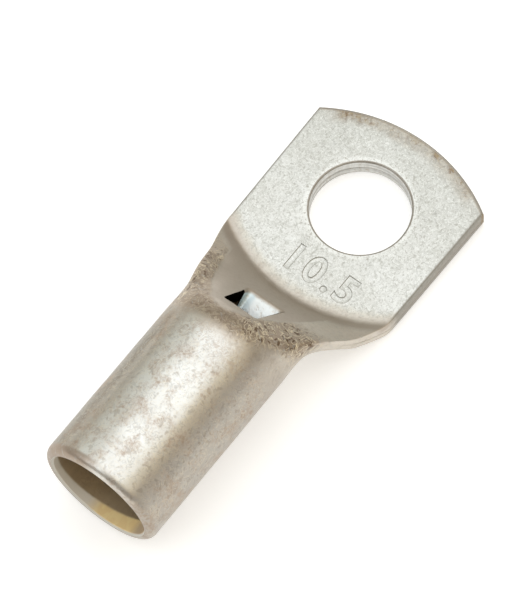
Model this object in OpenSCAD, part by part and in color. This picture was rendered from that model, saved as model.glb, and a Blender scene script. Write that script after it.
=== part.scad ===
// Tubular cable lug, pressed from one length of tinned copper tube.
// The origin is the centre of the stud hole on the contact face of the palm.
// +X runs to the tip of the palm, the conductor enters from -X, and +Z is up.

/* [Tube] */
// Outer diameter of the barrel
tube_d = 13.5; // [12:0.1:15]
// Wall of the tube; the palm is two of these walls pressed together
tube_wall = 1.15; // [0.9:0.05:1.4]
// Radius of the round on the outer edge of the mouth
mouth_round = 0.85; // [0.3:0.05:0.85]
// Width of the broken inner edge of the mouth
mouth_break = 0.2; // [0.05:0.05:0.25]

/* [Length] */
// From the centre of the stud hole to the mouth
mouth_reach = 42.4; // [36:0.2:60]
// From the centre of the stud hole to the middle of the tip
tip_reach = 10.1; // [8.5:0.1:13]
// From the centre of the stud hole back to the end of the flat palm
palm_back = 11.6; // [10.5:0.1:14]

/* [Palm] */
// Clearance diameter of the stud hole
stud_d = 10.5; // [8.4:0.1:13]
// Width of the palm at its root
palm_root_w = 20.6; // [19:0.1:23]
// Width of the palm at the tip
palm_tip_w = 21.2; // [19:0.1:23]
// Radius of the arc that the tip is cut to
tip_r = 18.8; // [14:0.2:30]
// Width of the broken edges along the sides of the palm
palm_break = 0.2; // [0.1:0.05:0.35]
// Width of the broken edges of the stud hole
stud_break = 0.15; // [0.05:0.05:0.3]

/* [Press] */
// Angle of the pressed slope above the palm
slope = 52; // [45:1:60]
// Radius in the corner between palm and slope
foot_r = 1.2; // [0.6:0.1:2]
// Radius where the slope runs out on top of the barrel
crest_r = 5; // [3:0.1:6]
// Radius of the end of the flat palm, seen from above
press_r = 16.4; // [14:0.2:22]
// Height of the underside of the barrel above the contact face
barrel_lift = 0.8; // [0.1:0.1:1.5]
// Share of the flattening at which the tube starts to spread
spread_start = 0.1; // [0:0.05:0.5]
// Share of the flattening at which the underside leaves its round die
under_start = 0.2; // [0:0.05:0.6]

/* [Inspection hole] */
// Width of the inspection hole across the lug
sight_w = 4; // [2:0.1:4.5]
// Length of the inspection hole down the slope
sight_l = 6.3; // [2:0.1:6.5]
// From the end of the flat palm back to the middle of the inspection hole
sight_back = 5.8; // [5:0.1:6.5]
// Radius in the corners of the inspection hole
sight_r = 0.4; // [0.2:0.1:0.9]

/* [Smoothness] */
// Facets of the formed part in a quarter turn round the tube
quarter_steps = 14; // [10:2:20]
// Rings of the formed part in the corner between palm and slope
foot_steps = 4; // [3:1:6]
// Rings of the formed part down the slope
slope_steps = 11; // [8:1:16]
// Rings of the formed part where the slope runs out on the barrel
crest_steps = 5; // [3:1:8]

/* [Hidden] */
$fn = 96;

tinned_copper = "#b8b2a4";
tube_r = tube_d / 2;
bore_r = tube_r - tube_wall;
barrel_z = barrel_lift + tube_r;
palm_t = 2 * tube_wall;

// The slope runs in a straight line between its two corner arcs
slope_rise = barrel_lift + tube_d - palm_t;
form_l = (foot_r + crest_r) * tan(slope / 2) + slope_rise / tan(slope);
form_x = -palm_back - form_l;

// The sides of the palm widen from where the arc of the press has left them
root_gap = 0.5;
press_sag = press_r - sqrt(pow(press_r, 2) - pow(palm_root_w / 2, 2));
palm_x = -palm_back + press_sag + root_gap;
tip_centre_x = tip_reach - tip_r;
// The shear leaves a wider broken edge round the tip than along the sides
tip_break = 1.3 * palm_break;

// The formed part stands this little outside the plain tube, so that their surfaces cross cleanly
lap = 0.02;
lap_l = 0.4;
// The two layers of the palm meet with this much left between them
seam = 0.06;
// Cutting tools run this far past the faces that they open
past = 1;
// The tool of the inspection hole ends this far under the slope, in the hollow
sight_depth = 1.7 * tube_wall;

// How far the widest line of the formed part stays up while the underside lags, and how softly it sets in
line_hold = 1.6;
line_soft = 0.06;
// The tube spreads partly by this power of the flattening and partly by a smooth step
spread_power = 1.5;
spread_smooth = 0.6;
// The side of the tube blends into its upper and lower wall over this share of a quarter turn
side_share = 1 / (0.6 * quarter_steps);

ring_n = 4 * quarter_steps;

function smooth(u) = let (v = min(1, max(0, u))) v * v * (3 - 2 * v);
function mix(a, b, k) = a + (b - a) * k;
// A share that stays 0 until k reaches start, and is 1 where k is 1
function late(k, start) = smooth((k - start) / (1 - start));
// How far the tube has spread at a share of the flattening
function spread(k) =
    let (u = max(0, (k - spread_start) / (1 - spread_start)))
    mix(pow(u, spread_power), smooth(u), spread_smooth);
// Share for the height of the widest line, which stays up where the underside's share, low, lags behind k
function held_up(k, low) = let (lag = max(0, k - low)) k - line_hold * pow(lag, 2) / (lag + line_soft);

// Height of a pressed surface at a distance behind the flat palm: corner arc, slope, crest arc
function pressed_z(back, low, high, foot, crest) =
    let (bend = tan(slope / 2), run = (high - low) / tan(slope), end = (foot + crest) * bend + run)
    back <= 0 ? low
    : back < foot * sin(slope) ? low + foot - sqrt(pow(foot, 2) - pow(back, 2))
    : back < end - crest * sin(slope) ? low + (back - foot * bend) * tan(slope)
    : back < end ? high - crest + sqrt(pow(crest, 2) - pow(end - back, 2))
    : high;

// Quarter of a round section, from its side to its top, whose facets clear the radius
function round_quarter(r) =
    let (step = 90 / quarter_steps, corner_r = r / cos(step / 2))
    [for (i = [0:quarter_steps]) corner_r * [cos(i * step), sin(i * step)]];

// Quarter of a flat section with a broken corner, point for point with the round one
function flat_quarter(half_w, half_t, broken, nose = 0) = [
    [half_w + nose, 0],
    [half_w, half_t - broken],
    for (i = [0:quarter_steps - 2]) [(half_w - broken) * (1 - i / (quarter_steps - 2)), half_t]
];

// A quarter of the tube on its way from round to flat, over (side = 1) or under (side = -1) its widest
// line. Shares run from 0 for round to 1 for flat: k_side and k_mid at the widest line and at the middle
// of the wall, wide_side and wide_mid for the width there, and k_line for the height of that line.
function formed_quarter(round_q, flat_q, flat_z, k_side, k_mid, wide_side, wide_mid, k_line, side) = [
    for (i = [0:quarter_steps])
        let (t = smooth(i * side_share), wide = mix(wide_side, wide_mid, t))
        let (rise = mix(round_q[i][1], flat_q[i][1], mix(k_side, k_mid, t)))
        [mix(round_q[i][0], flat_q[i][0], wide), mix(barrel_z, flat_z, mix(k_line, k_mid, t)) + side * rise]
];

// Whole section, counted from the +Y side over the top
function formed_section(round_q, flat_q, flat_z, k) =
    let (low = late(k, under_start), wide = spread(k), line = held_up(k, low))
    let (upper = formed_quarter(round_q, flat_q, flat_z, k, k, wide, wide, line, 1))
    let (lower = formed_quarter(round_q, flat_q, flat_z, k, low, wide, low, line, -1))
    [
        for (i = [0:quarter_steps]) upper[i],
        for (i = [quarter_steps - 1:-1:0]) [-upper[i][0], upper[i][1]],
        for (i = [1:quarter_steps]) [-lower[i][0], lower[i][1]],
        for (i = [quarter_steps - 1:-1:1]) lower[i]
    ];

// Under the press a ring follows the arc at the end of the palm; at the barrel it is square to the tube
function arc_reach(back, y) =
    let (r = press_r + back, share = 1 - smooth(2 * back / form_l - 1))
    share * (r - sqrt(pow(r, 2) - pow(y, 2)));

function placed(section, back) = [for (p = section) [arc_reach(back, p[0]) - palm_back - back, p[0], p[1]]];

// Distances of the rings behind the palm: even steps through each corner arc and down the slope
function ring_backs(first, foot, crest) =
    let (slope_from = foot * sin(slope), slope_to = form_l - crest * sin(slope))
    [
        for (i = [0:foot_steps - 1]) mix(first, slope_from, i / foot_steps),
        for (i = [0:slope_steps - 1]) mix(slope_from, slope_to, i / slope_steps),
        for (i = [0:crest_steps]) mix(slope_to, form_l, i / crest_steps)
    ];

// Facets between rings that follow each other towards the barrel
function loft_sides(rings) = [
    for (s = [0:rings - 2], i = [0:ring_n - 1])
        let (a = s * ring_n + i, b = s * ring_n + (i + 1) % ring_n)
        each [[a, b, b + ring_n], [a, b + ring_n, a + ring_n]]
];

// Facets that close the first ring, which may follow the arc, between its upper and its lower half
tip_cap = [
    for (i = [0:ring_n / 2 - 1])
        let (a = i, b = i + 1, c = ring_n - i - 1, d = (ring_n - i) % ring_n)
        each [if (b < c) [a, c, b], if (i > 0) [a, d, c]]
];

module loft(rings, flat_start) {
    start = flat_start ? [[for (i = [ring_n - 1:-1:0]) i]] : tip_cap;
    end = [for (i = [0:ring_n - 1]) (len(rings) - 1) * ring_n + i];
    polyhedron(points = [for (ring = rings) each ring], faces = concat(loft_sides(len(rings)), start, [end]));
}

// A ring of the flat palm, square to the lug
function palm_ring(x, width) =
    let (flat_q = flat_quarter(width / 2, tube_wall, palm_break))
    [for (p = formed_section(round_quarter(tube_r), flat_q, tube_wall, 1)) [x, p[0], p[1]]];

// Outside of the palm, past its tip, and of the formed part, up to a short lap over the tube
module formed_outside() {
    round_q = round_quarter(tube_r + lap);
    flat_q = flat_quarter(palm_root_w / 2, tube_wall, palm_break);
    widening = (palm_tip_w - palm_root_w) / (tip_reach - palm_x);
    loft([
        palm_ring(tip_reach + past, palm_tip_w + widening * past),
        palm_ring(palm_x, palm_root_w),
        for (back = ring_backs(0, foot_r, crest_r))
            let (top = pressed_z(back, palm_t, palm_t + slope_rise, foot_r, crest_r))
            placed(formed_section(round_q, flat_q, tube_wall, 1 - (top - palm_t) / slope_rise), back),
        placed(formed_section(round_q, flat_q, tube_wall, 0), form_l + lap_l)
    ], true);
}

// Hollow of the formed part: the same press, one wall further in, down to the seam of the palm
module formed_hollow() {
    round_q = round_quarter(bore_r + lap);
    flat_q = flat_quarter(palm_root_w / 2 - tube_wall, seam / 2, seam / 4, seam / 2);
    foot = foot_r + tube_wall;
    crest = crest_r - tube_wall;
    loft([
        for (back = ring_backs(foot_r / 2, foot, crest))
            let (top = pressed_z(back, tube_wall, tube_wall + slope_rise, foot, crest))
            placed(formed_section(round_q, flat_q, tube_wall, 1 - (top - tube_wall) / slope_rise), back),
        placed(formed_section(round_q, flat_q, tube_wall, 0), form_l + lap_l)
    ], false);
}

// Barrel as a solid of revolution with its rounded mouth
module tube_outside() {
    translate([-mouth_reach, 0, barrel_z]) rotate([0, 90, 0]) rotate_extrude() {
        translate([0, mouth_round]) square([tube_r, mouth_reach + form_x - lap_l / 2 - mouth_round]);
        square([tube_r - mouth_round, 2 * mouth_round]);
        translate([tube_r - mouth_round, mouth_round]) circle(r = mouth_round);
    }
}

// Bore for the conductor with the broken edge of the mouth
module conductor_bore() {
    translate([-mouth_reach, 0, barrel_z]) rotate([0, 90, 0]) {
        translate([0, 0, -past]) cylinder(h = mouth_reach + form_x - lap_l / 2 + past, r = bore_r);
        translate([0, 0, -past]) cylinder(h = mouth_break + past, r1 = bore_r + mouth_break + past, r2 = bore_r);
    }
}

// What the press shears off past the tip: everything outside a disc with a broken rim
module tip_waste() {
    difference() {
        translate([0, -palm_tip_w, -past]) cube([2 * tip_reach, 2 * palm_tip_w, palm_t + 2 * past]);
        translate([tip_centre_x, 0, 0]) rotate_extrude() polygon([
            [0, -past], [tip_r - tip_break - past, -past], [tip_r, tip_break],
            [tip_r, palm_t - tip_break], [tip_r - tip_break - past, palm_t + past], [0, palm_t + past]
        ]);
    }
}

module stud_hole() {
    translate([0, 0, -past]) cylinder(h = palm_t + 2 * past, d = stud_d);
    for (top = [0, 1]) translate([0, 0, top * palm_t]) mirror([0, 0, top])
        translate([0, 0, -past]) cylinder(h = stud_break + past, r1 = stud_d / 2 + stud_break + past, r2 = stud_d / 2);
}

// Inspection hole, square to the slope and through its wall only
module sight_hole() {
    slope_z = pressed_z(sight_back, palm_t, palm_t + slope_rise, foot_r, crest_r);
    translate([-palm_back - sight_back, 0, slope_z]) rotate([0, slope, 0]) translate([0, 0, -sight_depth])
        linear_extrude(height = sight_depth + past) union() {
            square([sight_l, sight_w - 2 * sight_r], center = true);
            square([sight_l - 2 * sight_r, sight_w], center = true);
            for (x = [-1, 1], y = [-1, 1])
                translate([x * (sight_l / 2 - sight_r), y * (sight_w / 2 - sight_r)]) circle(r = sight_r);
        }
}

module cable_lug() {
    color(tinned_copper) difference() {
        union() {
            tube_outside();
            formed_outside();
        }
        conductor_bore();
        formed_hollow();
        tip_waste();
        stud_hole();
        sight_hole();
    }
}

cable_lug();
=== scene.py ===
from math import cos, pi, radians, sin, sqrt, tan
import bmesh
import bpy
from mathutils import Matrix, Vector, noise


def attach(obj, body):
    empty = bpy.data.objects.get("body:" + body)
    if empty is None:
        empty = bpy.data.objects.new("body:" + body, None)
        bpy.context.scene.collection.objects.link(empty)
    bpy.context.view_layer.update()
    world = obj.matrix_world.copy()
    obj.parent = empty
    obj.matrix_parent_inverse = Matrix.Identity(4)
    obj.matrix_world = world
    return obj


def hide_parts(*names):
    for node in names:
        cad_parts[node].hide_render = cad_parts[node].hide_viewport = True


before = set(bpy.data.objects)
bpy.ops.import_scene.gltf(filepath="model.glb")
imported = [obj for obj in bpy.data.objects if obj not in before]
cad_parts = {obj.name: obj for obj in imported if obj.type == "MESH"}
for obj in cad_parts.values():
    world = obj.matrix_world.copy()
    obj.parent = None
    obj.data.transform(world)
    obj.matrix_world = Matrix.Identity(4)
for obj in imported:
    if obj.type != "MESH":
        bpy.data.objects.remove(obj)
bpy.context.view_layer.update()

# Sizes of the lug in millimetres, as in the part's source
TUBE_R = 6.75
TUBE_WALL = 1.15
BORE_R = TUBE_R - TUBE_WALL
BARREL_LIFT = 0.8
BARREL_Z = BARREL_LIFT + TUBE_R
PALM_T = 2 * TUBE_WALL
MOUTH_REACH = 42.4
MOUTH_ROUND = 0.85
MOUTH_BREAK = 0.2
TIP_REACH = 10.1
TIP_R = 18.8
PALM_BACK = 11.6
PALM_ROOT_W = 20.6
PALM_TIP_W = 21.2
STUD_R = 5.25
SLOPE = radians(52)
FOOT_R = 1.2
CREST_R = 5.0
PRESS_R = 16.4
SPREAD_START = 0.1
SPREAD_POWER = 1.5
SPREAD_SMOOTH = 0.6
UNDER_START = 0.2
LINE_HOLD = 1.6
LINE_SOFT = 0.06
SIGHT_W = 4.0
SIGHT_L = 6.3
SIGHT_BACK = 5.8
SIGHT_R = 0.4
ROOT_GAP = 0.5
SLOPE_RISE = BARREL_LIFT + 2 * TUBE_R - PALM_T
FORM_L = (FOOT_R + CREST_R) * tan(SLOPE / 2) + SLOPE_RISE / tan(SLOPE)
FORM_X = -PALM_BACK - FORM_L
TIP_CENTRE_X = TIP_REACH - TIP_R
PRESS_SAG = PRESS_R - sqrt(PRESS_R**2 - (PALM_ROOT_W / 2) ** 2)
PALM_X = -PALM_BACK + PRESS_SAG + ROOT_GAP
PAST = 1.0
MM = 0.001

# Sizes of what only the look has, in millimetres
PALM_EDGE = 0.24
SIDE_BULGE = 0.07
SEAM_DEPTH = 0.09
SEAM_HALF = 0.055
SLIT_HALF = 0.03
HAMMER_DEPTH = 0.05
STUD_ROLL = 0.22
TIP_ROLL = 0.28
NOTCH_DEPTH = 0.06
NOTCH_HALF = 0.05

# How a section is divided: angles of its points in a quarter turn, from its side to its middle
CORNER_ANGLE = 90 / 14
SIDE_ANGLES = [0.0, 0.7, 2.2, 4.0, 5.3, 5.9]
TOP_STEPS = 26
TOP_ANGLES = [CORNER_ANGLE + (90 - CORNER_ANGLE) * i / TOP_STEPS for i in range(TOP_STEPS + 1)]
QUARTER = SIDE_ANGLES + TOP_ANGLES
# Angle from the side at which a section moves wholly as its middle does
MIDDLE_ANGLE = 54.0


def smooth(u):
    v = min(1.0, max(0.0, u))
    return v * v * (3 - 2 * v)


def mix(a, b, k):
    return a + (b - a) * k


def late(k, start):
    return smooth((k - start) / (1 - start))


def spread(k):
    """How far the tube has spread at a share of the flattening."""
    u = max(0.0, (k - SPREAD_START) / (1 - SPREAD_START))
    return mix(u**SPREAD_POWER, smooth(u), SPREAD_SMOOTH)


def held_up(k, low):
    """Share for the height of the widest line, which stays up where the underside lags behind."""
    lag = max(0.0, k - low)
    return k - LINE_HOLD * lag**2 / (lag + LINE_SOFT)


def pressed_z(back, low, high, foot, crest):
    """Height of a pressed surface at a distance behind the flat palm."""
    bend = tan(SLOPE / 2)
    end = (foot + crest) * bend + (high - low) / tan(SLOPE)
    if back <= 0:
        return low
    if back < foot * sin(SLOPE):
        return low + foot - sqrt(foot**2 - back**2)
    if back < end - crest * sin(SLOPE):
        return low + (back - foot * bend) * tan(SLOPE)
    if back < end:
        return high - crest + sqrt(crest**2 - (end - back) ** 2)
    return high


SIGHT_X = -PALM_BACK - SIGHT_BACK
SIGHT_Z = pressed_z(SIGHT_BACK, PALM_T, PALM_T + SLOPE_RISE, FOOT_R, CREST_R)


def palm_side(angle, half_w, half_t, edge):
    """Point of the flat section: bulged side with the seam of the walls, round edge, flat top."""
    if angle >= CORNER_ANGLE:
        return (half_w - edge) * (90 - angle) / (90 - CORNER_ANGLE), half_t
    wall = half_w - SIDE_BULGE
    return (
        (half_w - SEAM_DEPTH, 0.0),
        (half_w - 0.01, SEAM_HALF),
        (half_w, 0.5 * half_t),
        (wall, half_t - edge),
        (wall - 0.3 * edge, half_t - 0.3 * edge),
        (wall - 0.6 * edge, half_t - 0.08 * edge),
    )[SIDE_ANGLES.index(angle)]


def slit_side(angle, half_w, half_t):
    """Point of the thin slit between the two walls."""
    if angle >= CORNER_ANGLE:
        return half_w * (90 - angle) / (90 - CORNER_ANGLE), half_t
    return half_w + half_t * (1 - angle / CORNER_ANGLE), half_t * angle / CORNER_ANGLE


def formed_point(angle, over, round_r, flat, flat_z, k):
    """Point of a section from round (k = 0) to flat (k = 1), over or under its widest line."""
    low, wide = late(k, UNDER_START), spread(k)
    line = held_up(k, low)
    t = smooth(angle / MIDDLE_ANGLE)
    middle = k if over else low
    width = mix(wide, wide if over else low, t)
    round_y, round_z = round_r * cos(radians(angle)), round_r * sin(radians(angle))
    rise = mix(round_z, flat[1], mix(k, middle, t))
    z = mix(BARREL_Z, flat_z, mix(line, middle, t))
    return mix(round_y, flat[0], width), z + (rise if over else -rise)


def arc_reach(back, y):
    """How far the arc of the press reaches past its middle, less and less towards the tube."""
    r, share = PRESS_R + back, 1 - smooth(2 * back / FORM_L - 1)
    return share * (r - sqrt(r * r - y * y))


def row_backs(first, foot, crest, steps):
    """Distances behind the palm: even steps through each corner arc and down the slope."""
    a, b = foot * sin(SLOPE), FORM_L - crest * sin(SLOPE)
    stops = ((first, a, steps[0]), (a, b, steps[1]), (b, FORM_L, steps[2]))
    return [mix(p, q, i / n) for p, q, n in stops for i in range(n)] + [FORM_L]


def ring_angles():
    """Angle in its quarter, side of the lug and half of the section, for each point of a ring."""
    over = [(a, 1, True) for a in QUARTER] + [(a, -1, True) for a in reversed(QUARTER[:-1])]
    under = [(a, -1, False) for a in QUARTER[1:]]
    under += [(a, 1, False) for a in reversed(QUARTER[1:-1])]
    return over + under + over[:1]


RING = ring_angles()


def new_object(name, bm, material=None):
    mesh = bpy.data.meshes.new(name)
    bm.to_mesh(mesh)
    bm.free()
    obj = bpy.data.objects.new(name, mesh)
    bpy.context.scene.collection.objects.link(obj)
    if material:
        mesh.materials.append(material)
    return obj


def lofted(name, rows, material):
    """A tube through rows of points: a grid is rolled up to a ring, its open ends are closed."""
    bm = bmesh.new()
    across, along = len(RING) - 1, len(rows) - 1
    bmesh.ops.create_grid(bm, x_segments=across, y_segments=along, size=1)
    for v in bm.verts:
        column = round((v.co.x + 1) / 2 * across)
        row = round((v.co.y + 1) / 2 * along)
        v.co = rows[row](*RING[column])
    bmesh.ops.scale(bm, vec=(MM, MM, MM), verts=bm.verts)
    bmesh.ops.remove_doubles(bm, verts=bm.verts, dist=1e-7)
    bmesh.ops.holes_fill(bm, edges=[e for e in bm.edges if e.is_boundary], sides=0)
    bmesh.ops.recalc_face_normals(bm, faces=bm.faces)
    return new_object(name, bm, material)


def spun(name, profile, centre, material, angle=2 * pi, steps=160, start=0.0):
    """A solid swept round an upright axis from a closed profile of (radius, height) points."""
    bm = bmesh.new()
    out, axis = Vector((cos(start), sin(start), 0)), Vector((0, 0, 1))
    points = [bm.verts.new(centre + out * r + axis * h) for r, h in profile]
    full = abs(angle - 2 * pi) < 1e-6
    if full:
        edges = [bm.edges.new((a, b)) for a, b in zip(points, points[1:] + points[:1])]
        geometry = points + edges
    else:
        face = bm.faces.new(points)
        geometry = points + list(face.edges) + [face]
    bmesh.ops.spin(
        bm, geom=geometry, cent=centre, axis=axis, angle=angle, steps=steps,
        use_merge=full, use_duplicate=False,
    )
    bmesh.ops.remove_doubles(bm, verts=bm.verts, dist=1e-5)
    bmesh.ops.scale(bm, vec=(MM, MM, MM), verts=bm.verts)
    bmesh.ops.recalc_face_normals(bm, faces=bm.faces)
    return new_object(name, bm, material)


# Colours of the finishes and of painted light and shade; left and right are as seen from the mouth
# ---------------------------

PALM_WHITE, PALM_WHITE_DIM = (0.75, 0.755, 0.73, 1), (0.70, 0.70, 0.665, 1)
PALM_TIP_GREY, PALM_SIDE_CREAM = (0.61, 0.615, 0.58, 1), (0.77, 0.715, 0.645, 1)
PALM_MOTTLE, PALM_RIDGE = (0.52, 0.525, 0.48, 1), (0.88, 0.89, 0.86, 1)
FOOT_PALE, FOOT_DARK = (0.68, 0.65, 0.56, 1), (0.53, 0.495, 0.42, 1)
DISH_TAUPE = (0.465, 0.41, 0.35, 1)
TUBE_SILVER, TUBE_SILVER_DIM = (0.75, 0.75, 0.715, 1), (0.67, 0.66, 0.62, 1)
# Painted shade on the tube's flanks
FLANK_SHADE_LOW, FLANK_SHADE_HIGH = (0.4, 0.365, 0.32, 1), (0.53, 0.49, 0.44, 1)
FLANK_SHADE_LEFT, FLANK_SHADE = (0.43, 0.395, 0.345, 1), (0.27, 0.245, 0.205, 1)
# Belt colour, with painted shade on its flanks
BELT_SMOOTH, BELT_FLANK_SHADE = (0.61, 0.56, 0.485, 1), (0.45, 0.405, 0.35, 1)
BELT_BROWN, WORN_COPPER = (0.32, 0.25, 0.185, 1), (0.46, 0.36, 0.28, 1)
# Painted glints on ridges, and brown pits
RIDGE_GLINT_CREAM, PIT_BROWN = (0.76, 0.67, 0.49, 1), (0.15, 0.1, 0.06, 1)
WORM_BROWN, MOUTH_BROWN = (0.4, 0.3, 0.225, 1), (0.35, 0.275, 0.215, 1)
TIP_STAIN, TIP_STAIN_DARK = (0.37, 0.29, 0.185, 1), (0.23, 0.155, 0.1, 1)
TIP_LINE, SIDE_LINE = (0.29, 0.215, 0.13, 1), (0.22, 0.2, 0.17, 1)
# Stain round the stud hole, and a painted highlight ring
STUD_STAIN, STUD_RING_HIGHLIGHT = (0.32, 0.24, 0.16, 1), (0.86, 0.87, 0.84, 1)
# Painted shade in the sunk figures
FIGURE_SHADE_GREY = (0.33, 0.32, 0.29, 1)
FLECK_GREY, SCRATCH_GREY = (0.4, 0.39, 0.35, 1), (0.45, 0.45, 0.42, 1)

PUNCH_GREY, PUNCH_PALE = (0.47, 0.47, 0.45, 1), (0.68, 0.68, 0.65, 1)
PUNCH_STREAK, PUNCH_PIT = (0.5, 0.48, 0.44, 1), (0.36, 0.28, 0.2, 1)
PUNCH_EDGE = (0.26, 0.215, 0.165, 1)

BORE_GOLD, BORE_GOLD_PALE = (0.56, 0.46, 0.32, 1), (0.60, 0.495, 0.345, 1)
# Spots in the bore, and painted shade deep in it
BORE_SPOT, BORE_DEEP_SHADE = (0.45, 0.35, 0.24, 1), (0.14, 0.1, 0.06, 1)
# Painted highlight on the mouth's inner edge
BORE_RIM_HIGHLIGHT = (0.74, 0.72, 0.66, 1)
# Painted pool of light on the bore's lip
LIP_PAINTED_LIGHT_GOLD, LIP_PAINTED_LIGHT_AMBER = (1.0, 0.8, 0.42, 1), (0.85, 0.56, 0.24, 1)
LIP_PAINTED_LIGHT_SILVER, LIP_PAINTED_LIGHT_BROWN = (0.82, 0.77, 0.68, 1), (0.55, 0.42, 0.31, 1)

# Painted light, reflection and shadow of the inspection hole's walls, with its pits and rim
CUT_COOL_PAINTED_LIGHT, CUT_WHITE_PAINTED_LIGHT = (0.84, 0.875, 0.875, 1), (0.9, 0.93, 0.92, 1)
CUT_BLUE_PAINTED_REFLECTION, CUT_PIT = (0.69, 0.81, 0.85, 1), (0.6, 0.5, 0.38, 1)
CUT_RIM, CUT_PAINTED_SHADOW = (0.5, 0.44, 0.37, 1), (0.006, 0.005, 0.003, 1)

BLACK = (0, 0, 0, 1)

# Where a finish or a painted shade starts to change and where it has changed, in millimetres along
# the lug
BELT_FROM = (-24.9, -22.6)
TORN_FROM = (-24.2, -22.2)
WORN_FROM = (-27.2, -24.9)
TUBE_ENDS = (-22.5, -18.5)
BORE_SHADE_SPAN = (-36.0, -26.0)

# Helpers for shader nodes -----------------------------------------------------------------------


def join(tree, made, inputs):
    """Links each input of a node to a socket, or sets it to a value."""
    for key, value in inputs.items():
        if isinstance(value, bpy.types.NodeSocket):
            tree.links.new(value, made.inputs[key])
        else:
            made.inputs[key].default_value = value


def node(tree, kind, inputs=None, output=0, **settings):
    """Adds one shader node and gives one of its outputs."""
    made = tree.nodes.new("ShaderNode" + kind)
    for name, value in settings.items():
        setattr(made, name, value)
    join(tree, made, inputs or {})
    return made.outputs[output]


def maths(tree, operation, a, b=0.0, clamp=False):
    return node(tree, "Math", {0: a, 1: b}, operation=operation, use_clamp=clamp)


def plus(tree, a, b):
    return maths(tree, "ADD", a, b)


def less(tree, a, b, clamp=False):
    return maths(tree, "SUBTRACT", a, b, clamp)


def times(tree, first, *others):
    for other in others:
        first = maths(tree, "MULTIPLY", first, other)
    return first


def larger(tree, a, b):
    return maths(tree, "MAXIMUM", a, b)


def step(tree, value, low, high, to_low=0.0, to_high=1.0):
    """Goes smoothly from to_low to to_high while the value goes from low to high."""
    ends = {"Value": value, "From Min": low, "From Max": high, "To Min": to_low, "To Max": to_high}
    return node(tree, "MapRange", ends, interpolation_type="SMOOTHSTEP")


def until(tree, value, low, high):
    """1 up to low, 0 from high on."""
    return step(tree, value, low, high, 1.0, 0.0)


def stained(tree, share, colour, stain):
    mixed = {"Factor": share, "A": colour, "B": stain}
    return node(tree, "Mix", mixed, "Result", data_type="RGBA")


def layered(tree, colour, *layers):
    """A colour with stains over it, each given as its share and its colour."""
    for share, stain in layers:
        colour = stained(tree, share, colour, stain)
    return colour


def blended(tree, share, a, b):
    return node(tree, "Mix", {"Factor": share, "A": a, "B": b}, "Result", data_type="FLOAT")


def scaled(tree, place, factor):
    return node(tree, "VectorMath", {0: place, 3: factor}, operation="SCALE")


def distance(tree, place, point):
    return node(tree, "VectorMath", {0: place, 1: point}, "Value", operation="DISTANCE")


def parted(tree, place):
    """The three coordinates of a place."""
    xyz = tree.nodes.new("ShaderNodeSeparateXYZ")
    tree.links.new(place, xyz.inputs[0])
    return xyz.outputs


def grain(
    tree, place, size, detail=2.0, distortion=0.0,
    stretch=(1, 1, 1), turn=(0, 0, 0), shift=(0, 0, 0),
):
    """Noise of a given size in millimetres, drawn out and turned as asked."""
    laid = {"Vector": place, "Location": shift, "Rotation": turn, "Scale": stretch}
    laid = node(tree, "Mapping", laid, vector_type="POINT")
    texture = {"Vector": laid, "Scale": 1 / size, "Detail": detail, "Distortion": distortion}
    return node(tree, "TexNoise", texture, "Fac")


def new_group(name, inputs, outputs):
    tree = bpy.data.node_groups.new(name, "ShaderNodeTree")
    for label, kind in inputs:
        tree.interface.new_socket(label, in_out="INPUT", socket_type="NodeSocket" + kind)
    for label in outputs:
        tree.interface.new_socket(label, in_out="OUTPUT", socket_type="NodeSocketFloat")
    given = tree.nodes.new("NodeGroupInput").outputs
    return tree, given, tree.nodes.new("NodeGroupOutput").inputs


def put_out(tree, result, values):
    for label, value in values.items():
        tree.links.new(value, result[label])
    return tree


def use(tree, group, **inputs):
    """Puts a group into a node tree and gives its outputs."""
    made = tree.nodes.new("ShaderNodeGroup")
    made.node_tree = group
    join(tree, made, inputs)
    return made.outputs


# Effects that the finishes share ----------------------------------------------------------------

PLACE, PLACE_AND_SIZE = [("Place", "Vector")], [("Place", "Vector"), ("Size", "Float")]


def press_zones():
    """Where the press has been: flat palm and its foot, smooth dish, rough band round the dish."""
    tree, given, result = new_group("press_zones", PLACE, ["Palm", "Foot", "Dish", "Band"])
    place = given["Place"]
    x, y, z = parted(tree, place)
    root = maths(tree, "SQRT", less(tree, PRESS_R**2, times(tree, y, y)))
    back = less(tree, less(tree, less(tree, PRESS_R, root), x), PALM_BACK)
    upper = step(tree, z, 1.2, 2.2)

    # The dish ends behind in a shallow arc, a little to the left of the middle
    dish_end, dish_middle, dish_bend = -21.0, 0.9, 0.21
    aside = less(tree, y, dish_middle)
    inward = less(tree, less(tree, x, dish_end), times(tree, aside, aside, dish_bend))
    edge = plus(tree, inward, less(tree, grain(tree, place, 1.4, 2.0), 0.5))
    pressed = larger(tree, step(tree, edge, -0.5, 0.7), until(tree, back, 1.6, 2.8))

    uneven = less(tree, grain(tree, place, 0.9, 3.0, 0.6, shift=(3, 6, 0)), 0.5)
    past_palm = plus(tree, back, uneven)
    behind = step(tree, past_palm, -0.8, 1.2)
    dish = times(tree, pressed, upper, behind)
    palm = less(tree, 1.0, behind)
    foot = times(tree, step(tree, past_palm, -1.3, -0.1), palm, upper)
    band = times(tree, step(tree, x, *BELT_FROM), behind, less(tree, 1.0, dish))
    return put_out(tree, result, {"Palm": palm, "Foot": foot, "Dish": dish, "Band": band})


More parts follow.
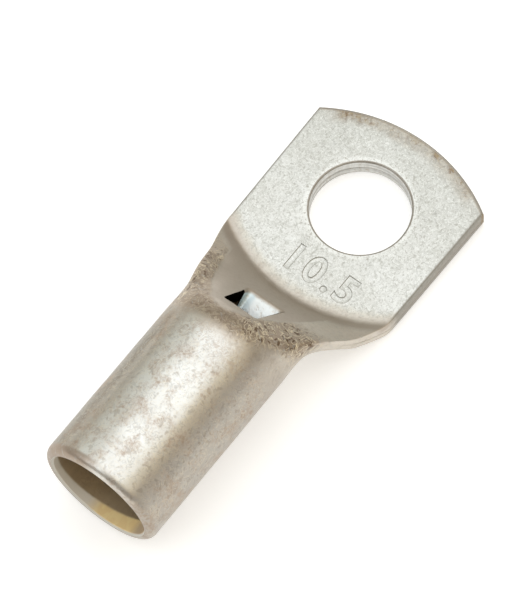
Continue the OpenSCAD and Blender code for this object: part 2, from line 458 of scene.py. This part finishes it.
def pitted_skin():
    """Worm-like ridges and small pits of plated copper."""
    tree, given, result = new_group("pitted_skin", PLACE_AND_SIZE, ["Ridge", "Pit", "Height"])
    place = scaled(tree, given["Place"], maths(tree, "DIVIDE", 1.0, given["Size"]))
    worm = grain(tree, place, 1.0, 2.5, 1.4)
    from_ridge = maths(tree, "ABSOLUTE", less(tree, worm, 0.5))
    from_groove = maths(tree, "ABSOLUTE", less(tree, worm, 0.59))
    ridge = until(tree, from_ridge, 0.0, 0.05)
    groove = until(tree, from_groove, 0.0, 0.045)
    broken = step(tree, grain(tree, place, 1.6, 2.0, 0.5, shift=(1, 8, 6)), 0.42, 0.56)
    pit = step(tree, grain(tree, place, 0.8, 1.0, 0.4, shift=(7, 3, 5)), 0.6, 0.7)
    pit = larger(tree, pit, times(tree, groove, broken))
    height = plus(tree, less(tree, times(tree, worm, 2.0), pit), times(tree, ridge, 0.25))
    return put_out(tree, result, {"Ridge": ridge, "Pit": pit, "Height": height})


def handling_marks():
    """Fine short scratches in four directions."""
    tree, given, result = new_group("handling_marks", PLACE, ["Scratch"])
    marks = 0.0
    for turn, length, shift in ((0.5, 0.3, 0), (-0.9, 0.22, 9), (1.6, 0.26, 21), (-2.2, 0.4, 33)):
        turned = {"Vector": given["Place"], "Angle": turn}
        turned = node(tree, "VectorRotate", turned, rotation_type="Z_AXIS")
        line = grain(tree, turned, 0.26, 1.5, 0.25, (length, 1, 0.5), shift=(shift, 0, 0))
        marks = larger(tree, marks, step(tree, line, 0.66, 0.73))
    return put_out(tree, result, {"Scratch": marks})


def tarnish_spots():
    """Soft patches where the tin is thin, broken up by finer spots."""
    tree, given, result = new_group("tarnish_spots", PLACE_AND_SIZE, ["Patch", "Broad"])
    place = scaled(tree, given["Place"], maths(tree, "DIVIDE", 1.0, given["Size"]))
    coarse = grain(tree, place, 1.0, 3.0, 0.6)
    fine = grain(tree, place, 0.16, 2.0, 0.8)
    both = plus(tree, times(tree, coarse, 0.7), times(tree, fine, 0.3))
    patch = step(tree, both, 0.47, 0.66)
    broad = step(tree, grain(tree, place, 2.2, 3.0, 0.3, shift=(4, 9, 2)), 0.35, 0.65)
    return put_out(tree, result, {"Patch": patch, "Broad": broad})


ZONES, SKIN, MARKS, SPOTS = press_zones(), pitted_skin(), handling_marks(), tarnish_spots()

# Materials --------------------------------------------------------------------------------------


def new_metal(name):
    """A metal: the material, its tree, its shader and the place on the piece in millimetres."""
    material = bpy.data.materials.new(name)
    material.use_nodes = True
    tree = material.node_tree
    shader = tree.nodes["Principled BSDF"]
    shader.inputs["Metallic"].default_value = 1.0
    return material, tree, shader, scaled(tree, node(tree, "TexCoord", output="Object"), 1 / MM)


def finish_metal(tree, shader, colour, roughness, height, depth):
    """Joins colour, roughness and relief to the shader; depth is in millimetres."""
    tree.links.new(colour, shader.inputs["Base Color"])
    tree.links.new(roughness, shader.inputs["Roughness"])
    relief = node(tree, "Bump", {"Height": height, "Distance": depth * MM, "Strength": 1.0})
    tree.links.new(relief, shader.inputs["Normal"])


def tinned_skin():
    """Outside of the lug: pale palm, smooth taupe dish, torn belt, silver tube with painted shade
    on its flanks, brown edges.
    """
    material, tree, shader, place = new_metal("tinned_skin")
    zones = use(tree, ZONES, Place=place)
    palm, dish, band = zones["Palm"], zones["Dish"], zones["Band"]
    fine = use(tree, SKIN, Place=place, Size=0.36)
    coarse = use(tree, SKIN, Place=place, Size=0.75)
    rough = use(tree, SKIN, Place=place, Size=0.9)
    scratch = use(tree, MARKS, Place=place)["Scratch"]
    spots = use(tree, SPOTS, Place=place, Size=2.4)
    patch, broad = spots["Patch"], spots["Broad"]
    mottle = step(tree, grain(tree, place, 0.5, 3.0, 1.2, shift=(5, 1, 0)), 0.42, 0.62)
    wave = grain(tree, place, 1.9, 1.5, 0.4)
    open_skin = less(tree, 1.0, larger(tree, palm, dish), clamp=True)
    x, y, z = parted(tree, place)
    off_middle = maths(tree, "ABSOLUTE", y)

    # Stain along the tip, lines along the edges, and what surrounds the stud hole, with a painted
    # highlight ring
    from_tip = distance(tree, place, (TIP_CENTRE_X, 0, PALM_T))
    from_stud = distance(tree, place, (0, 0, PALM_T))
    cloud = step(tree, grain(tree, place, 3.2, 2.0, 0.4, shift=(2, 2, 0)), 0.32, 0.52, 0.6, 1.0)
    tip_edge = times(
        tree,
        step(tree, from_tip, TIP_R - 2.2, TIP_R - 0.5),
        blended(tree, patch, 0.4, 1.0),
        palm,
        cloud,
        step(tree, off_middle, 7.6, 9.2, 1.0, 0.15),
    )
    tip_line = times(tree, step(tree, from_tip, TIP_R - 0.5, TIP_R - 0.2), palm)
    beside = less(tree, off_middle, times(tree, plus(tree, x, 9.0), 0.017))
    side_line = step(tree, beside, PALM_ROOT_W / 2 - 0.45, PALM_ROOT_W / 2 - 0.2)
    side_line = times(tree, side_line, palm)
    stud_edge = times(tree, until(tree, from_stud, STUD_R + 0.25, STUD_R + 1.2), fine["Pit"])
    # Painted highlight ring round the stud hole
    stud_highlight_ring = times(tree, until(tree, from_stud, STUD_R + 0.45, STUD_R + 0.75), palm)
    # Painted shade inside the sunk figures
    sunk = times(
        tree,
        until(tree, z, PALM_T - 0.04, PALM_T - 0.01),
        step(tree, z, PALM_T - 0.12, PALM_T - 0.1),
        palm,
    )

    # Mouth: brown on its left side and in patches on its right side
    mouth = until(tree, x, -MOUTH_REACH + 0.72, -MOUTH_REACH + 1.1)
    handled = times(tree, patch, step(tree, y, -4.2, -2.4, 0.6, 0.0))
    mouth = times(tree, mouth, larger(tree, step(tree, y, -0.8, 1.6, 0.12, 0.85), handled))

    # Painted shade on the flanks of the tube, up to a height that grows outwards, most on the left
    lean = plus(tree, times(tree, y, 0.095), times(tree, off_middle, 0.185))
    up = less(tree, less(tree, z, BARREL_Z), lean)
    on_tube = until(tree, x, *TUBE_ENDS)
    painted_flank_shade = times(tree, until(tree, up, 4.6, 6.0), on_tube)
    shaded = times(tree, until(tree, up, 3.4, 4.4), step(tree, y, 0.0, 2.0), on_tube)
    flank_shade_tint = stained(tree, step(tree, up, 3.2, 4.0), FLANK_SHADE_LOW, FLANK_SHADE_HIGH)
    flank_shade_tint = stained(tree, step(tree, y, -1.0, 1.0), flank_shade_tint, FLANK_SHADE_LEFT)

    # Belt behind the dish: brown where the press dragged the skin, torn most at both sides
    raised = plus(tree, z, step(tree, y, 0.0, 3.0, 0.0, 3.2))
    aside = maths(tree, "MINIMUM", plus(tree, y, 2.0), 0.0)
    ahead = plus(tree, x, times(tree, aside, 0.7))
    dragged = times(
        tree,
        band,
        step(tree, raised, 6.0, 8.7, 0.1, 1.0),
        step(tree, ahead, *TORN_FROM, 0.15, 1.0),
    )
    strokes = larger(tree, step(tree, y, -2.6, -0.8, 1.0, 0.4), step(tree, y, 4.0, 6.0, 0.0, 0.9))
    torn = times(tree, dragged, strokes)
    # The belt's flanks take the same painted shade as the tube's flanks
    belt = stained(tree, painted_flank_shade, BELT_SMOOTH, BELT_FLANK_SHADE)
    # Painted glints on the ridges of the skin, most on the torn belt
    ridge_glints = times(tree, coarse["Ridge"], open_skin, 0.3)
    ridge_glints = blended(tree, band, ridge_glints, times(tree, rough["Ridge"], torn))
    holes = times(tree, coarse["Pit"], open_skin, 0.25)
    holes = blended(tree, band, holes, times(tree, rough["Pit"], torn))
    worn_end = larger(tree, patch, step(tree, x, *WORN_FROM, 0.0, 0.7))
    bare_tube = less(tree, open_skin, band, clamp=True)
    worms = times(tree, larger(tree, rough["Pit"], rough["Ridge"]), worn_end, bare_tube)

    pits = blended(tree, dish, blended(tree, palm, 0.12, 0.4), 0.02)
    flecks = times(tree, fine["Pit"], pits)
    dull = times(tree, scratch, blended(tree, dish, 0.4, 0.03))

    white = layered(
        tree,
        stained(tree, broad, PALM_WHITE, PALM_WHITE_DIM),
        (step(tree, x, -5.0, 9.0, 0.0, 0.75), PALM_TIP_GREY),
        (until(tree, z, PALM_T - 0.4, PALM_T - 0.2), PALM_SIDE_CREAM),
        (times(tree, mottle, 0.48), PALM_MOTTLE),
        (times(tree, fine["Ridge"], 0.7), PALM_RIDGE),
    )
    colour = layered(
        tree,
        stained(tree, broad, TUBE_SILVER, TUBE_SILVER_DIM),
        (times(tree, painted_flank_shade, 0.95), flank_shade_tint),
        (shaded, FLANK_SHADE),
        (palm, white),
        (times(tree, zones["Foot"], 0.75), stained(tree, mottle, FOOT_PALE, FOOT_DARK)),
        (dish, DISH_TAUPE),
        (times(tree, patch, open_skin, 0.36), WORN_COPPER),
        (times(tree, band, 0.85), belt),
        (times(tree, dragged, 0.88), BELT_BROWN),
        (times(tree, ridge_glints, 0.8), RIDGE_GLINT_CREAM),
        (holes, PIT_BROWN),
        (times(tree, worms, 0.6), WORM_BROWN),
        (tip_edge, stained(tree, mottle, TIP_STAIN, TIP_STAIN_DARK)),
        (times(tree, side_line, 0.75), SIDE_LINE),
        (times(tree, tip_line, 0.75), TIP_LINE),
        (times(tree, stud_edge, 0.4), STUD_STAIN),
        (times(tree, stud_highlight_ring, 0.6), STUD_RING_HIGHLIGHT),
        (times(tree, sunk, 0.65), FIGURE_SHADE_GREY),
        (mouth, MOUTH_BROWN),
        (flecks, FLECK_GREY),
        (dull, SCRATCH_GREY),
    )

    roughness = blended(tree, palm, 0.34, 0.5)
    roughness = blended(tree, times(tree, patch, 0.7), roughness, 0.48)
    roughness = plus(tree, roughness, times(tree, fine["Pit"], 0.1))
    height = plus(tree, times(tree, fine["Height"], 0.6), coarse["Height"])
    height = times(tree, height, blended(tree, dish, 0.3, 0.03))
    height = plus(tree, height, times(tree, rough["Height"], torn, 3.0))
    height = less(tree, height, times(tree, scratch, blended(tree, dish, 0.12, 0.01)))
    height = plus(tree, height, times(tree, wave, blended(tree, open_skin, 0.6, 4.5)))
    finish_metal(tree, shader, colour, roughness, height, 0.012)
    return material


def punched_wall():
    """Cut edges: grey tin in level bands, faint streaks along the punch, brown at the top edge."""
    material, tree, shader, place = new_metal("punched_wall")
    streak = grain(tree, place, 0.3, 2.0, 0.0, (1, 1, 0.12))
    level = grain(tree, place, 0.4, 1.0, 0.0, (0.06, 0.06, 1), shift=(0, 0, 3))
    skin = use(tree, SKIN, Place=place, Size=0.5)
    near_top = step(tree, parted(tree, place)[2], PALM_T - 0.17, PALM_T - 0.09)
    colour = layered(
        tree,
        stained(tree, step(tree, level, 0.35, 0.65), PUNCH_GREY, PUNCH_PALE),
        (step(tree, streak, 0.35, 0.65, 0.0, 0.25), PUNCH_STREAK),
        (times(tree, skin["Pit"], 0.4), PUNCH_PIT),
        (times(tree, near_top, step(tree, skin["Height"], 0.3, 1.2, 0.3, 0.6)), PUNCH_EDGE),
    )
    roughness = step(tree, streak, 0.3, 0.7, 0.36, 0.5)
    height = plus(tree, level, times(tree, streak, 0.3))
    height = plus(tree, height, times(tree, skin["Height"], 0.2))
    finish_metal(tree, shader, colour, roughness, height, 0.02)
    return material


def bore_copper():
    """Inside of the tube: thinly tinned copper with painted shade further in, a painted highlight
    on the mouth's inner edge, and a painted pool of light, gold and silver, on its lip.
    """
    material, tree, shader, place = new_metal("bore_copper")
    line = grain(tree, place, 0.5, 2.0, 0.0, (0.06, 1, 1))
    patch = use(tree, SPOTS, Place=place, Size=2.6)["Patch"]
    x, y = parted(tree, place)[:2]
    # Painted pool of light on the lower wall just inside the mouth, where the shader is not
    # metallic
    lip = plus(tree, x, times(tree, y, 0.1))
    lip = until(tree, lip, -MOUTH_REACH + 1.25, -MOUTH_REACH + 1.6)
    streak = step(tree, grain(tree, place, 0.7, 3.0, 0.6, (0.6, 1, 1)), 0.4, 0.6, 0.3, 0.0)
    lip_painted_light = layered(
        tree,
        stained(tree, streak, LIP_PAINTED_LIGHT_GOLD, LIP_PAINTED_LIGHT_AMBER),
        (step(tree, y, 0.6, 2.4), LIP_PAINTED_LIGHT_SILVER),
        (step(tree, y, -4.4, -3.0, 0.85, 0.0), LIP_PAINTED_LIGHT_BROWN),
    )
    colour = layered(
        tree,
        stained(tree, step(tree, line, 0.3, 0.7), BORE_GOLD, BORE_GOLD_PALE),
        (times(tree, patch, 0.3), BORE_SPOT),
        (lip, lip_painted_light),
        # Painted shade, darker deeper into the bore
        (step(tree, x, *BORE_SHADE_SPAN, 0.0, 0.85), BORE_DEEP_SHADE),
        # Painted highlight on the mouth's broken inner edge
        (until(tree, x, -MOUTH_REACH + 0.1, -MOUTH_REACH + 0.24), BORE_RIM_HIGHLIGHT),
    )
    tree.links.new(until(tree, lip, 0.0, 1.0), shader.inputs["Metallic"])
    roughness = blended(tree, patch, 0.5, 0.62)
    finish_metal(tree, shader, colour, roughness, plus(tree, line, patch), 0.01)
    return material


def cut_wall_painted_light_and_shadow():
    """Walls of the inspection hole: bright cool tin with painted light and a painted bluish
    reflection on the palm's side, painted black shadow on the others.
    """
    material, tree, shader, place = new_metal("cut_wall_painted_light_and_shadow")
    streak = grain(tree, place, 0.45, 2.0, 0.3, (0.4, 1, 0.4), (0, -SLOPE, 0))
    skin = use(tree, SKIN, Place=place, Size=0.5)
    x, y, z = parted(tree, place)
    ahead, above = less(tree, x, SIGHT_X), less(tree, z, SIGHT_Z)
    along = less(tree, times(tree, ahead, cos(SLOPE)), times(tree, above, sin(SLOPE)))
    out = plus(tree, times(tree, ahead, sin(SLOPE)), times(tree, above, cos(SLOPE)))
    colour = layered(
        tree,
        # Painted light and a painted bluish reflection on the palm's side wall
        stained(tree, step(tree, streak, 0.35, 0.65), CUT_COOL_PAINTED_LIGHT, CUT_WHITE_PAINTED_LIGHT),
        (step(tree, y, 0.8, 1.4, 0.0, 0.8), CUT_BLUE_PAINTED_REFLECTION),
        (times(tree, skin["Pit"], 0.3), CUT_PIT),
        (step(tree, out, -0.45, -0.05), CUT_RIM),
        # Painted black shadow on every wall but the palm's side
        (until(tree, along, SIGHT_L / 2 - 1.3, SIGHT_L / 2 - 1.0), CUT_PAINTED_SHADOW),
    )
    roughness = step(tree, streak, 0.3, 0.7, 0.42, 0.55)
    shader.inputs["Specular Tint"].default_value = BLACK
    finish_metal(tree, shader, colour, roughness, plus(tree, streak, skin["Height"]), 0.01)
    return material


TIN, WALL, BORE, CUT = tinned_skin(), punched_wall(), bore_copper(), cut_wall_painted_light_and_shadow()

# Outside of the lug -----------------------------------------------------------------------------


def hammered(point, depth):
    """Moves a point in from the skin of the tube by a shallow unevenness."""
    x, y, z = point
    axis = Vector((0, y, z - BARREL_Z))
    at = Vector((x * 0.22, y * 0.4, z * 0.4))
    broad, fine = noise.noise(at + Vector((3.1, 7.7, 1.3))), noise.noise(at * 3.1)
    dip = 0.5 + 0.5 * broad + 0.25 * fine
    return Vector(point) - axis.normalized() * depth * max(0.0, dip)


def round_row(x, r, depth=0.0):
    def at(angle, side, over):
        y, z = side * r * cos(radians(angle)), r * sin(radians(angle)) * (1 if over else -1)
        return hammered((x, y, BARREL_Z + z), depth)

    return at


def pressed_row(back):
    top = pressed_z(back, PALM_T, PALM_T + SLOPE_RISE, FOOT_R, CREST_R)
    k = 1 - (top - PALM_T) / SLOPE_RISE

    def at(angle, side, over):
        flat = palm_side(angle, PALM_ROOT_W / 2, TUBE_WALL, PALM_EDGE)
        y, z = formed_point(angle, over, TUBE_R, flat, TUBE_WALL, k)
        x = arc_reach(back, y) - PALM_BACK - back
        return hammered((x, side * y, z), HAMMER_DEPTH * (1 - k))

    return at


def palm_row(x, width):
    def at(angle, side, over):
        y, z = palm_side(angle, width / 2, TUBE_WALL, PALM_EDGE)
        return Vector((x, side * y, TUBE_WALL + (z if over else -z)))

    return at


def mouth_row(turn):
    """Row on the rounded mouth, at an angle from the side of the tube to its end."""
    inward = MOUTH_ROUND * (1 - cos(turn))
    x = -MOUTH_REACH + MOUTH_ROUND - MOUTH_ROUND * sin(turn)
    return round_row(x, TUBE_R - inward, HAMMER_DEPTH * cos(turn))


def outside_rows():
    """Rows from past the tip to the mouth."""
    widening = (PALM_TIP_W - PALM_ROOT_W) / (TIP_REACH - PALM_X)
    past_tip = palm_row(TIP_REACH + PAST, PALM_TIP_W + widening * PAST)
    rows = [past_tip, palm_row(PALM_X, PALM_ROOT_W), pressed_row(-0.12)]
    rows += [pressed_row(back) for back in row_backs(0, FOOT_R, CREST_R, (8, 26, 16))]
    barrel_steps, mouth_steps = 40, 8
    for i in range(1, barrel_steps):
        x = mix(FORM_X, -MOUTH_REACH + MOUTH_ROUND, i / barrel_steps)
        rows.append(round_row(x, TUBE_R, HAMMER_DEPTH))
    return rows + [mouth_row(i * pi / 2 / mouth_steps) for i in range(mouth_steps + 1)]


lug = lofted("lug_body", outside_rows(), TIN)

# Tools that open it: the bore with the hollow behind it, the shear of the tip, the punches ------


def hollow_row(back, half_t):
    low, foot, crest = TUBE_WALL, FOOT_R + TUBE_WALL, CREST_R - TUBE_WALL
    k = 1 - (pressed_z(back, low, low + SLOPE_RISE, foot, crest) - low) / SLOPE_RISE

    def at(angle, side, over):
        flat = slit_side(angle, PALM_ROOT_W / 2 - TUBE_WALL, half_t)
        y, z = formed_point(angle, over, BORE_R, flat, TUBE_WALL, k)
        return Vector((arc_reach(back, y) - PALM_BACK - back, side * y, z))

    return at


def inside_rows():
    """Rows from the closed end of the slit to past the mouth."""
    backs = row_backs(FOOT_R / 2, FOOT_R + TUBE_WALL, CREST_R - TUBE_WALL, (6, 24, 12))
    rows = [hollow_row(back, SLIT_HALF if i else 0.0) for i, back in enumerate(backs)]
    edge = -MOUTH_REACH + MOUTH_BREAK
    rows += [round_row(x, BORE_R) for x in (-30, -36, edge + 0.3, edge + 0.02)]
    rows += [round_row(-MOUTH_REACH - past, BORE_R + MOUTH_BREAK + past) for past in (0, PAST)]
    return rows


bore_tool = lofted("bore_tool", inside_rows(), BORE)


def edge_arc(r, roll, sign):
    """Wall of a punched edge, rolled in at both faces: sign is 1 for a hole and -1 for a rim."""
    arc = [i * pi / 12 for i in range(7)]
    low = [(r + sign * roll * (1 - sin(a)), roll * (1 - cos(a))) for a in arc]
    notch = ((0, -NOTCH_HALF), (sign * NOTCH_DEPTH, 0), (0, NOTCH_HALF))
    middle = [(r + out, TUBE_WALL + up) for out, up in notch]
    return low + middle + [(p, PALM_T - h) for p, h in reversed(low)]


stud_tool = spun(
    "stud_tool",
    [(0.01, -PAST), (STUD_R + STUD_ROLL, -PAST)]
    + edge_arc(STUD_R, STUD_ROLL, 1)
    + [(STUD_R + STUD_ROLL, PALM_T + PAST), (0.01, PALM_T + PAST)],
    Vector(), WALL,
)
tip_tool = spun(
    "tip_tool",
    [(TIP_R - TIP_ROLL, -PAST)]
    + edge_arc(TIP_R, TIP_ROLL, -1)
    + [(TIP_R - TIP_ROLL, PALM_T + PAST), (TIP_R + 8, PALM_T + PAST), (TIP_R + 8, -PAST)],
    Vector((TIP_CENTRE_X, 0, 0)), WALL, angle=radians(100), steps=200, start=radians(-50),
)

# Lays a tool made in millimetres on the slope, over the middle of the inspection hole
SIGHT_PLACE = Matrix.Scale(MM, 4) @ Matrix.Translation((SIGHT_X, 0, SIGHT_Z))
SIGHT_PLACE = SIGHT_PLACE @ Matrix.Rotation(SLOPE, 4, "Y")


def sight_tool():
    """Rounded four-cornered punch, square to the slope, flared where it meets the skin."""
    bm = bmesh.new()
    bmesh.ops.create_grid(bm, x_segments=1, y_segments=1, size=0.5)
    bmesh.ops.scale(bm, vec=(SIGHT_L, SIGHT_W, 1), verts=bm.verts)
    bmesh.ops.bevel(
        bm, geom=bm.verts[:], offset=SIGHT_R, segments=6,
        profile=0.5, affect="VERTICES", material=-1,
    )
    depth = 2.7
    bmesh.ops.translate(bm, vec=(0, 0, -depth), verts=bm.verts)
    top = bm.faces[:]
    rises_and_growths = ((depth - 0.2, 0.0), (0.1, 0.05), (0.08, 0.12), (0.06, 0.2), (0.6, 0.8))
    for number, (rise, grow) in enumerate(rises_and_growths):
        made = bmesh.ops.extrude_face_region(bm, geom=top)["geom"]
        if number:
            bmesh.ops.delete(bm, geom=top, context="FACES_ONLY")
        moved = [g for g in made if isinstance(g, bmesh.types.BMVert)]
        top = [g for g in made if isinstance(g, bmesh.types.BMFace)]
        wider = (1 + 2 * grow / SIGHT_L, 1 + 2 * grow / SIGHT_W, 1)
        bmesh.ops.translate(bm, vec=(0, 0, rise), verts=moved)
        bmesh.ops.scale(bm, vec=wider, verts=moved)
    # Its foot leans towards the mouth, so that the palm's side of the hole is a ramp
    for side, shift in ((1, -1.0), (-1, -1.3)):
        leaning = [v for v in bm.verts if v.co.z < -1 and v.co.x * side > 0]
        bmesh.ops.translate(bm, vec=(shift, 0, 0), verts=leaning)
    bmesh.ops.recalc_face_normals(bm, faces=bm.faces)
    bmesh.ops.transform(bm, matrix=SIGHT_PLACE, verts=bm.verts)
    return new_object("sight_tool", bm, CUT)


def sight_lip():
    """Metal that the punch has dragged in behind the hole's edge on the palm's side."""
    bm = bmesh.new()
    bmesh.ops.create_cube(bm, size=1)
    bmesh.ops.bevel(
        bm, geom=bm.edges[:], offset=0.2, segments=3,
        profile=0.5, affect="EDGES", material=-1,
    )
    bmesh.ops.scale(bm, vec=(2.5, SIGHT_W + 1.6, 1.5), verts=bm.verts)
    bmesh.ops.translate(bm, vec=(SIGHT_L / 2 - 0.3, 0, -1.5), verts=bm.verts)
    bmesh.ops.transform(bm, matrix=SIGHT_PLACE, verts=bm.verts)
    return new_object("sight_lip", bm, BORE)


def figures_tool():
    """Plain figures, sunk into the palm with sloping flanks."""
    height = 0.3
    text = bpy.data.curves.new("figures", "FONT")
    text.body = "10.5"
    text.size, text.space_character = 4.3, 1.2
    text.extrude, text.bevel_depth = height, 0.13
    text.bevel_resolution, text.resolution_u = 1, 6
    text.align_x, text.align_y = "CENTER", "CENTER"
    drawn = bpy.data.objects.new("figures", text)
    bpy.context.scene.collection.objects.link(drawn)
    bpy.context.view_layer.update()
    bm = bmesh.new()
    bm.from_mesh(drawn.to_mesh())
    bpy.data.objects.remove(drawn)
    bmesh.ops.remove_doubles(bm, verts=bm.verts, dist=1e-5)
    centre = Vector((-8.5, -1.2, PALM_T + height))
    turned = Matrix.Translation(centre) @ Matrix(((0, 1, 0), (-1, 0, 0), (0, 0, 1))).to_4x4()
    bmesh.ops.transform(bm, matrix=Matrix.Scale(MM, 4) @ turned, verts=bm.verts)
    bmesh.ops.recalc_face_normals(bm, faces=bm.faces)
    return new_object("figures_tool", bm, TIN)


def cut(target, tools):
    """Takes the tools away from the target and keeps the result as its mesh."""
    for tool in tools:
        away = target.modifiers.new("cut", "BOOLEAN")
        away.operation, away.solver, away.object = "DIFFERENCE", "EXACT", tool
        away.material_mode = "TRANSFER"
    bpy.context.view_layer.update()
    shown = target.evaluated_get(bpy.context.evaluated_depsgraph_get())
    done = bpy.data.meshes.new_from_object(shown)
    target.modifiers.clear()
    target.data = done
    for tool in tools:
        bpy.data.objects.remove(tool)


cut(bore_tool, [sight_lip()])
cut(lug, [bore_tool, tip_tool, stud_tool, sight_tool(), figures_tool()])
lug.data.name = "lug_body"
lug.data.shade_smooth()
lug.data.set_sharp_from_angle(angle=radians(30))

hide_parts("cable_lug")
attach(lug, "root")

# Floor, light and camera ------------------------------------------------------------------------


def surface(tree, kind, shader):
    """Joins a shader to the output of a material or a world."""
    tree.links.new(shader, tree.nodes.new("ShaderNodeOutput" + kind).inputs["Surface"])


def pale_floor():
    """A pale disc just below the lug, white to the camera and in reflections."""
    bm = bmesh.new()
    below = Matrix.Translation((0, 0, -0.02 * MM))
    bmesh.ops.create_circle(bm, cap_ends=True, radius=3.0, segments=64, matrix=below)
    material = bpy.data.materials.new("floor_paint")
    material.use_nodes = True
    tree = material.node_tree
    tree.nodes.clear()
    place = node(tree, "TexCoord", output="Object")
    tint = step(tree, grain(tree, place, 0.2), 0.3, 0.7)
    colour = stained(tree, tint, (0.85, 0.85, 0.85, 1), (0.87, 0.87, 0.865, 1))
    rays = tree.nodes.new("ShaderNodeLightPath").outputs
    seen = larger(tree, rays["Is Camera Ray"], rays["Is Glossy Ray"])
    seen = larger(tree, seen, rays["Is Transmission Ray"])
    card = node(tree, "BsdfDiffuse", {"Color": colour})
    glow = node(tree, "Emission", {"Strength": times(tree, seen, 0.42)})
    surface(tree, "Material", node(tree, "AddShader", {0: card, 1: glow}))
    return new_object("floor", bm, material)


pale_floor()


def studio():
    """Warm grey walls and soft lamps, given by direction, half width in degrees and colour."""
    world = bpy.data.worlds.new("studio")
    world.use_nodes = True
    tree = world.node_tree
    tree.nodes.clear()
    direction_seen = node(tree, "TexCoord", output="Generated")
    toward = node(tree, "VectorMath", {0: direction_seen}, operation="NORMALIZE")

    def lit(direction, inner, outer):
        pair = {0: toward, 1: Vector(direction).normalized()}
        facing = node(tree, "VectorMath", pair, "Value", operation="DOT_PRODUCT")
        return step(tree, facing, cos(radians(outer)), cos(radians(inner)))

    light = layered(
        tree,
        (0.46, 0.43, 0.385, 1),
        # Dim wall behind the mouth
        (lit((-1, 0.1, 0.0), 20, 65), (0.32, 0.28, 0.225, 1)),
        # Wide lamp on the left
        (lit((0.3, 0.75, 0.55), 18, 58), (0.74, 0.74, 0.68, 1)),
        # Small bright lamp above the mouth
        (lit((-0.5, 0.42, 0.75), 12, 32), (1.6, 1.65, 1.68, 1)),
        # Warm ring, and the main lamp in it, overhead
        (lit((0.3, -0.32, 0.9), 36, 50), (0.95, 0.84, 0.63, 1)),
        (lit((0.3, -0.075, 0.94), 23, 41), (1.5, 1.52, 1.54, 1)),
    )
    surface(tree, "World", node(tree, "Background", {"Color": light}))
    return world


bpy.context.scene.world = studio()


def fitted_camera():
    """Camera behind the mouth and above, as in the photograph."""
    around, height, roll = radians(-137.591), radians(64.181), radians(-5.484)
    toward = Vector((cos(height) * cos(around), cos(height) * sin(around), sin(height)))
    level = Vector((-sin(around), cos(around), 0))
    rise = toward.cross(level)
    right = level * cos(roll) + rise * sin(roll)
    lens = bpy.data.cameras.new("camera")
    lens.sensor_fit, lens.sensor_height, lens.lens = "VERTICAL", 36, 242.055
    lens.clip_start, lens.clip_end = 0.01, 20
    camera = bpy.data.objects.new("camera", lens)
    camera.matrix_world = Matrix((right, toward.cross(right), toward)).transposed().to_4x4()
    camera.location = Vector((-144.6921, -118.0044, 368.2673)) * MM
    bpy.context.scene.collection.objects.link(camera)
    return camera


bpy.context.scene.camera = fitted_camera()
bpy.context.scene.view_settings.view_transform = "Standard"
